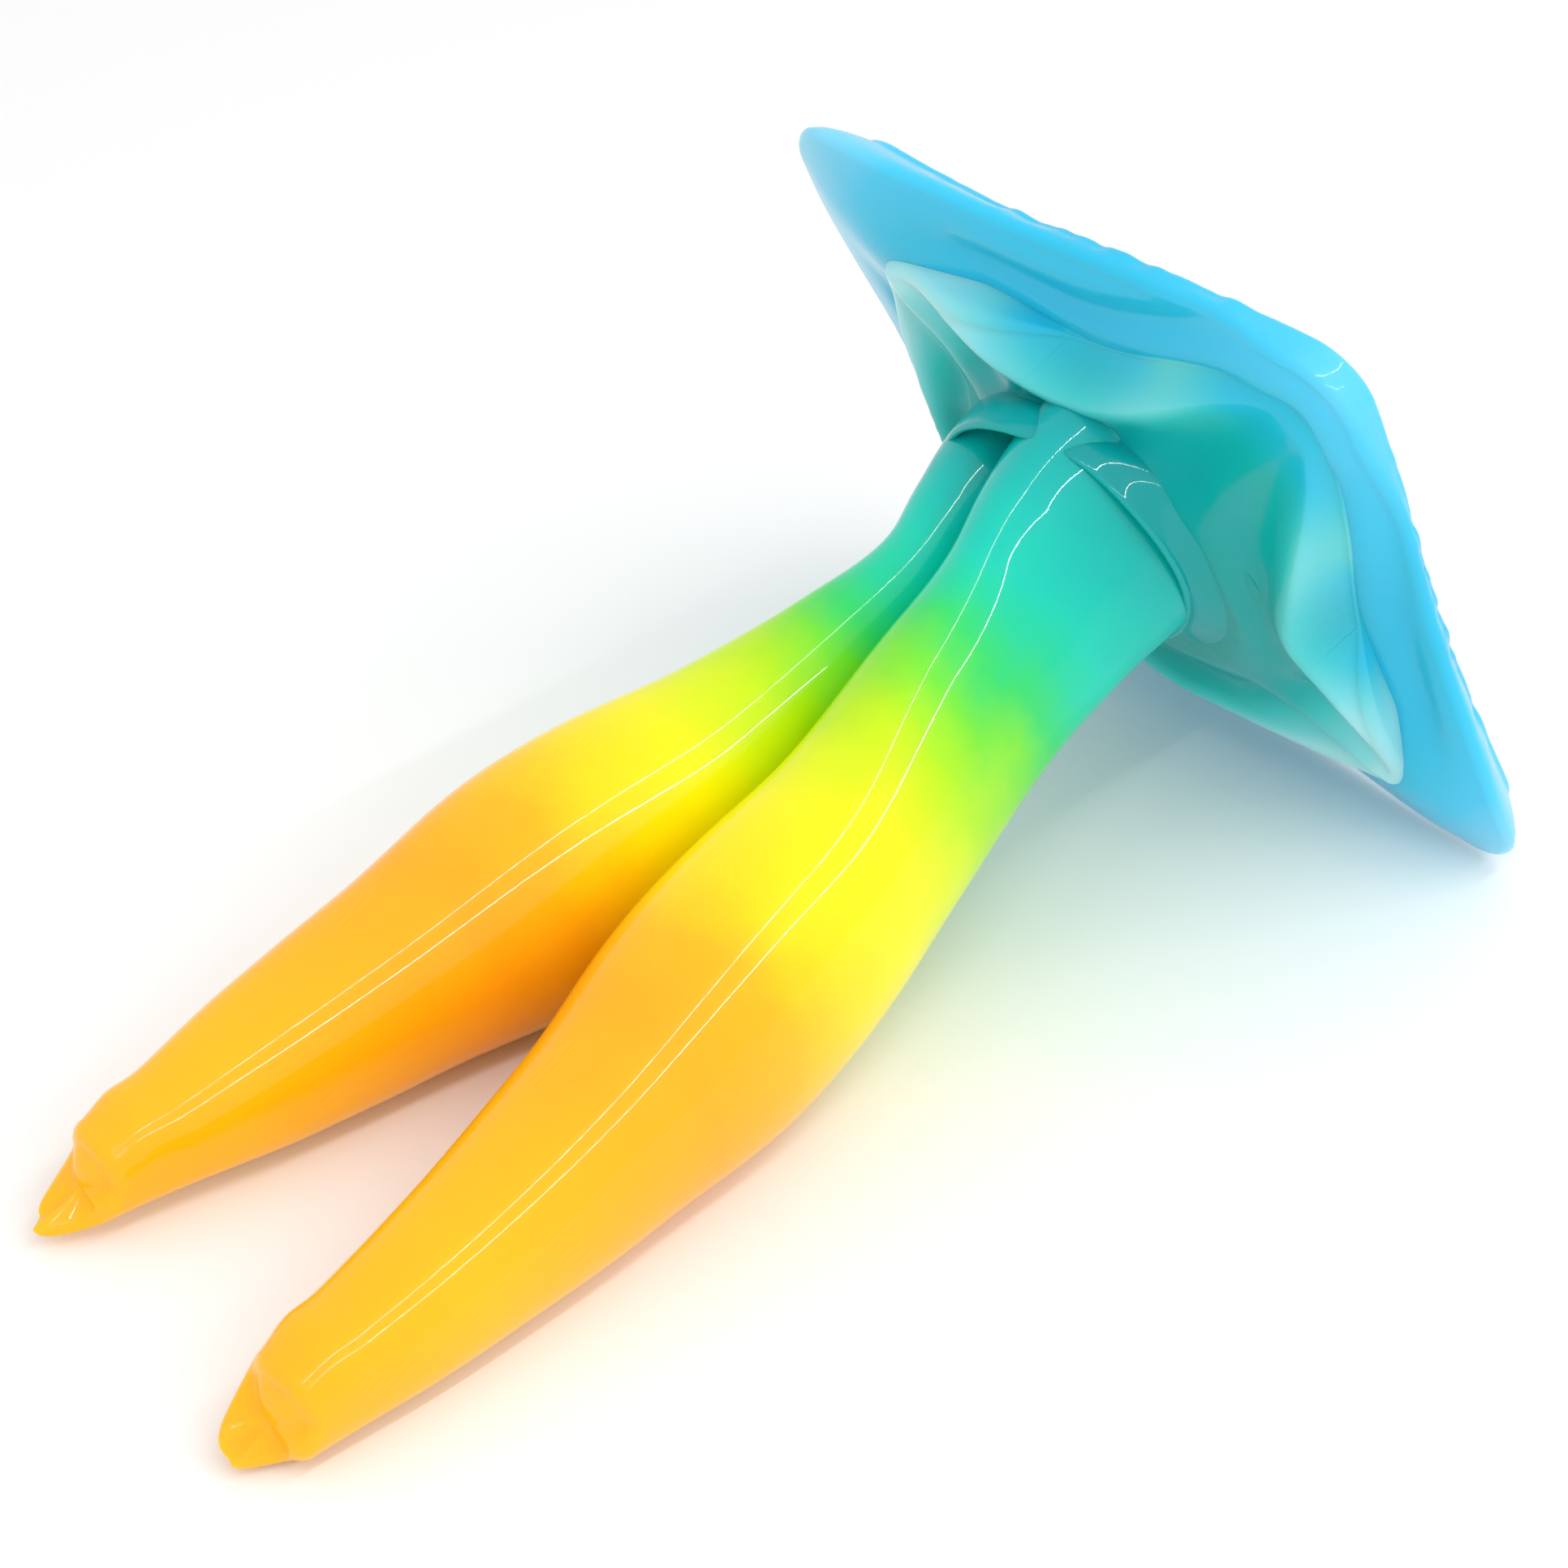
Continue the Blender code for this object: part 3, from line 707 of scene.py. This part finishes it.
def buildNeck():
    # The sleeve that the arms come out of: rings from a round foot, which spreads onto the leaves, up to an
    # oval rim, over a thin lip and back down inside.
    distance = np.linspace(neck["axisFrom"] - 1, neck["axisFrom"] + 1, 5)
    right, left = armShape("right", distance), armShape("left", distance)
    start = (right[0][2] + left[0][2]) / 2
    lean = unit(right[1][2] + left[1][2])
    apart = right[0][2] - left[0][2]
    apart = unit(apart - apart @ forward * forward)
    across = np.cross(forward, apart)
    columns = 220
    turn = np.arange(columns) / columns * 2 * np.pi
    # The rim is lowest towards the upper right point and stands up as a lip towards the upper left one.
    toUpper = np.cos(turn) * (apart @ outUpper) + np.sin(turn) * (across @ outUpper)
    toLower = np.cos(turn) * (apart @ outLower) + np.sin(turn) * (across @ outLower)
    rim = neck["rimLow"] + (neck["rimHigh"] - neck["rimLow"]) * smooth(0.75 - 0.85 * toUpper)
    rim = rim + neck["curl"] * smooth(-1.4 * toLower - 0.3)
    ring = [start, lean, apart, across, turn]
    rows = [neckRow(*ring, np.full(columns, neck["foot"] - lower), 1.0, 0) for lower in (2.5, 0.6)]
    for t in np.linspace(0, 1, 40):
        rows.append(neckRow(*ring, neck["foot"] + (rim - neck["foot"]) * t, (1 - t) ** 2.2, 0))
    for fold in np.radians(np.linspace(20, 180, 9)):
        inset = neck["wall"] / 2 * (1 - np.cos(fold))
        rows.append(neckRow(*ring, rim + neck["lip"] * np.sin(fold), 0, inset))
    for t in np.linspace(0.95, 0.1, 18):
        rows.append(neckRow(*ring, neck["foot"] + (rim - neck["foot"]) * t, 0, neck["wall"] + 1.2 * (1 - t)))
    grid = np.array(rows)
    level = np.array([(row - starMiddle) @ forward for row in grid])
    reach = np.clip(0.14 - (level - neck["foot"]) / 80, 0, 1)
    inside = np.full(reach.size, silicone["insideArm"])
    marks = {"reach": reach.ravel(), "blue": np.zeros(reach.size), "awayFromSeam": inside}
    mesh = buildMesh("neck_skin", grid.reshape(-1, 3), ringFaces(*reach.shape), marks)
    piece = buildPiece("neck_skin", mesh, tealSilicone)
    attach(piece, "star_base")
    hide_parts("skirt", "collar")
    print("neck formed")


buildNeck()

studio = {
    "floorHalf": 4.0,       # metres
    "azimuth": 47.7,        # the camera's, in degrees round from the front
    "elevation": 37.8,
    "distance": 467.0,
    "target": (19.9, -14.0, 54.9),
    "lens": 89.9,
    "world": 0.93,          # strength of the even white light all round
    "strips": [(66, 0.55, 8, 0.85), (42, 0.62, 8, 0.8)],  # degrees over the arms, metres away, mm wide, watts
}


def buildStudio():
    floorMesh = bpy.data.meshes.new("floor")
    half = studio["floorHalf"]
    corners = [(-half, -half, 0), (half, -half, 0), (half, half, 0), (-half, half, 0)]
    floorMesh.from_pydata(corners, [], [(0, 1, 2, 3)])
    floor = bpy.data.objects.new("floor", floorMesh)
    scene.collection.objects.link(floor)
    paper = bpy.data.materials.new("whiteSeamlessPaper")
    paper.use_nodes = True
    shader = paper.node_tree.nodes["Principled BSDF"]
    shader.inputs["Base Color"].default_value = toLinear("#f7f7f7")
    shader.inputs["Roughness"].default_value = 0.7
    floorMesh.materials.append(paper)
    world = bpy.data.worlds.new("brightRoom")
    scene.world = world
    world.use_nodes = True
    background = world.node_tree.nodes["Background"]
    background.inputs["Color"].default_value = (1, 1, 1, 1)
    background.inputs["Strength"].default_value = studio["world"]
    for i, (angle, away, width, watts) in enumerate(studio["strips"]):
        light = bpy.data.lights.new(f"strip{i}", "AREA")
        light.shape = "RECTANGLE"
        light.size, light.size_y = width * mm, 0.9
        light.energy = watts
        lamp = bpy.data.objects.new(f"strip{i}", light)
        scene.collection.objects.link(lamp)
        turn = math.radians(angle)
        lamp.location = (away * math.cos(turn), 0, away * math.sin(turn))
        lamp.rotation_euler = (0, math.pi / 2 - turn, 0)
    turn, tilt = math.radians(studio["azimuth"]), math.radians(studio["elevation"])
    back = np.array([math.sin(turn) * math.cos(tilt), -math.cos(turn) * math.cos(tilt), math.sin(tilt)])
    camera = bpy.data.objects.new("camera", bpy.data.cameras.new("camera"))
    scene.collection.objects.link(camera)
    camera.location = (np.array(studio["target"]) + studio["distance"] * back) * mm
    camera.rotation_euler = (math.pi / 2 - tilt, 0, turn)
    camera.data.lens = studio["lens"]
    camera.data.sensor_width = 36
    camera.data.clip_start = 0.01
    scene.camera = camera
    scene.view_settings.view_transform = "Standard"
    print("studio lit")


buildStudio()
